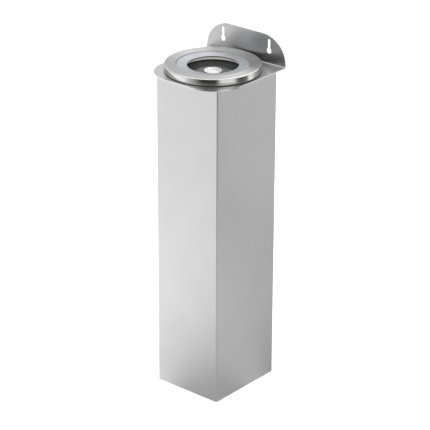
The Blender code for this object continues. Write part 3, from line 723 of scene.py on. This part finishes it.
def make_spider_screws():
    for i in range(1, SPIDER_SCREW_COUNT + 1):
        low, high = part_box(f"spider_screw_{i}")
        radius, under = (high.x - low.x) / 2, high.z - SPIDER_HEAD
        head = [
            (0, high.z, 0), (radius * 0.8, high.z, SPIDER_CROWN), (radius, under + SOFT, SOFT),
            (radius, under, CRISP), (SPIDER_THREAD, under, 0),
        ]
        turns = thread(SPIDER_THREAD, low.z + EASED, under - SOFT, SPIDER_PITCH)
        profile = [*filleted(head, 5), *turns, (SPIDER_TIP, low.z), (0, low.z)]
        make_screw(f"spider_screw_{i}", "head", profile, SPIDER_RECESS)


# CAD nodes that stay as they are and only get a material
KEPT = {
    "seam_strip": INNER, "base_plate": INNER, "gusset_front_left": INNER, "gusset_front_right": INNER,
    "gusset_back_left": INNER, "gusset_back_right": INNER, "carrier_ring": SOOTED, "spider": SOOTED,
    "bracket_nut_1": ZINC, "bracket_nut_2": ZINC, "bracket_nut_3": ZINC, "bracket_nut_4": ZINC,
    "spacer_sleeve": ZINC, "stud_washer": ZINC, "stud_nut": ZINC,
}


def dress_kept_nodes():
    for node, material in KEPT.items():
        mesh = frame["nodes"][node].data
        mesh.materials.clear()
        mesh.materials.append(material)


# ---- Stage ----


# The floor's half width, and a faint lift that keeps it white far away: its strength and the radii it fades in over
FLOOR_REACH = 20
FAR_LIFT, FAR_LIFT_START, FAR_LIFT_END = 0.5, 1.0, 5.0


def make_floor():
    """A plain pale matt floor."""
    bm = bmesh.new()
    bmesh.ops.create_grid(bm, x_segments=8, y_segments=8, size=FLOOR_REACH)
    floor = shaped("floor", bm)
    s = Shader("floor_matt")
    grain = s.noise(s.place, FLOOR_GRAIN, 3.0)
    tone = s.mix(grain, (0.80, 0.80, 0.80, 1), (0.84, 0.84, 0.84, 1))
    far = s.remap(s.radius(), 0.0, FAR_LIFT, FAR_LIFT_START, FAR_LIFT_END, smooth=True)
    white = (1.0, 1.0, 1.0, 1.0)
    matt = s.surface(Base_Color=tone, Roughness=0.9, Metallic=0.0, Emission_Color=white, Emission_Strength=far)
    floor.data.materials.append(matt)
    floor.location.z = cad_box[0].z


# Studio surroundings: a plain level high up, then soft lobes as azimuth and elevation, the half angles in
# degrees inside which they are full and outside which they are nothing, and their strength
SURROUND = 0.45
LOBES = (
    (130, 32, 12, 42, 0.78), (-130, 32, 12, 45, 0.68), (88, 54, 10, 32, 1.10), (40, 52, 8, 30, 1.0),
    (-110, 52, 8, 34, 0.9), (-50, 66, 8, 30, 1.2), (-54, 24, 12, 30, -0.30), (-18, 24, 8, 24, 0.80),
)
# The plain background that the camera sees
BACKDROP = 1.08
# Brightness near the horizon by azimuth, and the elevations over which the sky above takes over
HORIZON = (
    (-180, 1.30), (-160, 1.10), (-140, 0.75), (-118, 0.80), (-100, 0.60), (-84, 0.28), (-66, 0.04), (-50, 0.04),
    (-38, 0.30), (-26, 1.20), (-10, 1.20), (4, 0.75), (16, 0.15), (30, 0.12), (40, 0.40), (54, 0.90), (72, 0.60),
    (95, 0.25), (140, 0.22), (180, 1.30),
)
HORIZON_LOW, HORIZON_HIGH = 0.12, 0.44
# The brightness at the top of the azimuth curves
LEVEL_TOP = 2.0
# Soft lights that only diffuse surfaces see: name, place, aim, side in metres, power in watts
LIGHTS = (
    ("overhead", (0.0, 0.0, 3.0), (0, 0, 0), 3.0, 60.0),
    ("camera_side", (1.30, -1.55, 2.00), (0, 0, 0.44), 1.2, 60.0),
)
# What metal sees instead of the floor: brightness by azimuth in degrees, near the column and far from it
NEAR_FLOOR = (
    (-180, 1.68), (-140, 1.72), (-115, 1.32), (-90, 0.98), (-50, 0.85), (-10, 0.85), (30, 1.06), (45, 0.90),
    (65, 0.62), (120, 0.85), (180, 1.45),
)
FAR_FLOOR = (
    (-180, 1.55), (-150, 1.58), (-128, 1.52), (-108, 0.90), (-88, 0.36), (-68, 0.04), (-48, 0.04), (-38, 0.30),
    (-26, 1.25), (-10, 1.25), (4, 0.75), (16, 0.15), (30, 0.20), (38, 0.60), (46, 1.42), (56, 1.00), (82, 0.50),
    (105, 0.80), (180, 1.55),
)
FAR_FLOOR_START, FAR_FLOOR_END = 0.45, 0.85
GLOW_RADIUS, GLOW_LIFT = 19, 0.0005
# A painted shadow round the column: the glow darkens towards it: brightness at its foot, and the radii over which
# that fades
FOOT_LEVEL, FOOT_START, FOOT_END = 0.78, 0.04, 0.34


def toward(azimuth, elevation):
    a, e = math.radians(azimuth), math.radians(elevation)
    return Vector((math.cos(a) * math.cos(e), math.sin(a) * math.cos(e), math.sin(e)))


def make_world():
    """The studio that surfaces see, behind a plain background for the camera."""
    world = bpy.data.worlds.new("studio")
    bpy.context.scene.world = world
    world.use_nodes = True
    s = Shader("studio", world.node_tree)
    look = s.add("ShaderNodeTexCoord").outputs["Generated"]
    level = SURROUND
    for azimuth, elevation, inner, outer, strength in LOBES:
        dot = s.add("ShaderNodeVectorMath", {0: look, 1: toward(azimuth, elevation)}, operation="DOT_PRODUCT")
        limits = math.cos(math.radians(outer)), math.cos(math.radians(inner))
        lobe = s.remap(dot.outputs["Value"], 0.0, strength, *limits, smooth=True)
        level = s.maths("ADD", lobe, level)
    height = s.add("ShaderNodeSeparateXYZ", {0: look}).outputs[2]
    above = s.remap(height, 0, 1, HORIZON_LOW, HORIZON_HIGH, smooth=True)
    level = s.add("ShaderNodeMix", {0: above, 2: round_levels(s, look, HORIZON), 3: level}).outputs[0]
    seen = s.add("ShaderNodeLightPath").outputs["Is Camera Ray"]
    strength = s.add("ShaderNodeMix", {0: seen, 2: level, 3: BACKDROP}).outputs[0]
    background = s.add("ShaderNodeBackground", {"Color": (1, 1, 1, 1), "Strength": strength})
    s.add("ShaderNodeOutputWorld", {"Surface": background.outputs[0]})


def make_lights():
    for name, place, aim, side, power in LIGHTS:
        light = bpy.data.lights.new(name, "AREA")
        light.shape, light.size, light.energy = "SQUARE", side, power
        obj = bpy.data.objects.new(name, light)
        obj.location = place
        obj.rotation_euler = (Vector(aim) - Vector(place)).to_track_quat("-Z", "Y").to_euler()
        obj.visible_glossy = False
        bpy.context.scene.collection.objects.link(obj)


def round_levels(s, place, stops):
    """Brightness by azimuth round the column, from (degrees, level) stops."""
    parts = s.add("ShaderNodeSeparateXYZ", {0: place}).outputs
    turn = s.remap(s.maths("ARCTAN2", parts[1], parts[0]), 0.0, 1.0, -math.pi, math.pi)
    curve = s.add("ShaderNodeFloatCurve", {"Value": turn})
    points = curve.mapping.curves[0].points
    for number, (azimuth, level) in enumerate(stops):
        x, y = (azimuth + 180) / 360, level / LEVEL_TOP
        if number < 2:
            points[number].location = (x, y)
        else:
            points.new(x, y)
    for point in points:
        point.handle_type = "AUTO_CLAMPED"
    curve.mapping.update()
    return s.maths("MULTIPLY", curve.outputs[0], LEVEL_TOP)


def make_floor_glow():
    """A disc just above the floor that only reflections see: a painted reflection of the studio's floor, with a
    painted shadow at the column's foot.
    """
    bm = bmesh.new()
    bmesh.ops.create_circle(bm, cap_ends=True, segments=64, radius=GLOW_RADIUS)
    glow = shaped("floor_glow", bm)
    glow.location.z = cad_box[0].z + GLOW_LIFT
    s = Shader("floor_glow")
    near, far = round_levels(s, s.place, NEAR_FLOOR), round_levels(s, s.place, FAR_FLOOR)
    away = s.remap(s.radius(), 0, 1, FAR_FLOOR_START, FAR_FLOOR_END, smooth=True)
    level = s.add("ShaderNodeMix", {0: away, 2: near, 3: far}).outputs[0]
    foot = s.remap(s.radius(), FOOT_LEVEL, 1, FOOT_START, FOOT_END, smooth=True)
    light = s.add("ShaderNodeEmission", {"Strength": s.maths("MULTIPLY", level, foot)})
    s.add("ShaderNodeOutputMaterial", {"Surface": light.outputs[0]})
    glow.data.materials.append(s.material)
    glow.visible_camera = glow.visible_diffuse = glow.visible_shadow = glow.visible_transmission = False


def make_camera():
    yaw, pitch, roll = (math.radians(a) for a in (CAMERA_YAW, CAMERA_PITCH, CAMERA_ROLL))
    ahead = Vector((-math.sin(yaw) * math.cos(pitch), math.cos(yaw) * math.cos(pitch), -math.sin(pitch)))
    right = Vector((math.cos(yaw), math.sin(yaw), 0))
    up = right.cross(ahead)
    c, s = math.cos(roll), math.sin(roll)
    axes = Matrix((c * right + s * up, c * up - s * right, -ahead)).transposed()
    data = bpy.data.cameras.new("camera")
    data.lens, data.sensor_width = CAMERA_LENS, SENSOR_WIDTH
    camera = bpy.data.objects.new("camera", data)
    camera.matrix_world = Matrix.Translation(CAMERA_PLACE) @ axes.to_4x4()
    bpy.context.scene.collection.objects.link(camera)
    bpy.context.scene.camera = camera


make_column()
make_rivets()
make_bracket()
make_bracket_screws()
make_liner()
make_liner_base()
make_ring()
make_gasket()
make_dish()
make_dome()
make_disc()
make_skirt()
make_spider_screws()
dress_kept_nodes()
make_floor()
make_world()
make_lights()
make_floor_glow()
make_camera()
bpy.context.scene.view_settings.view_transform = "Standard"
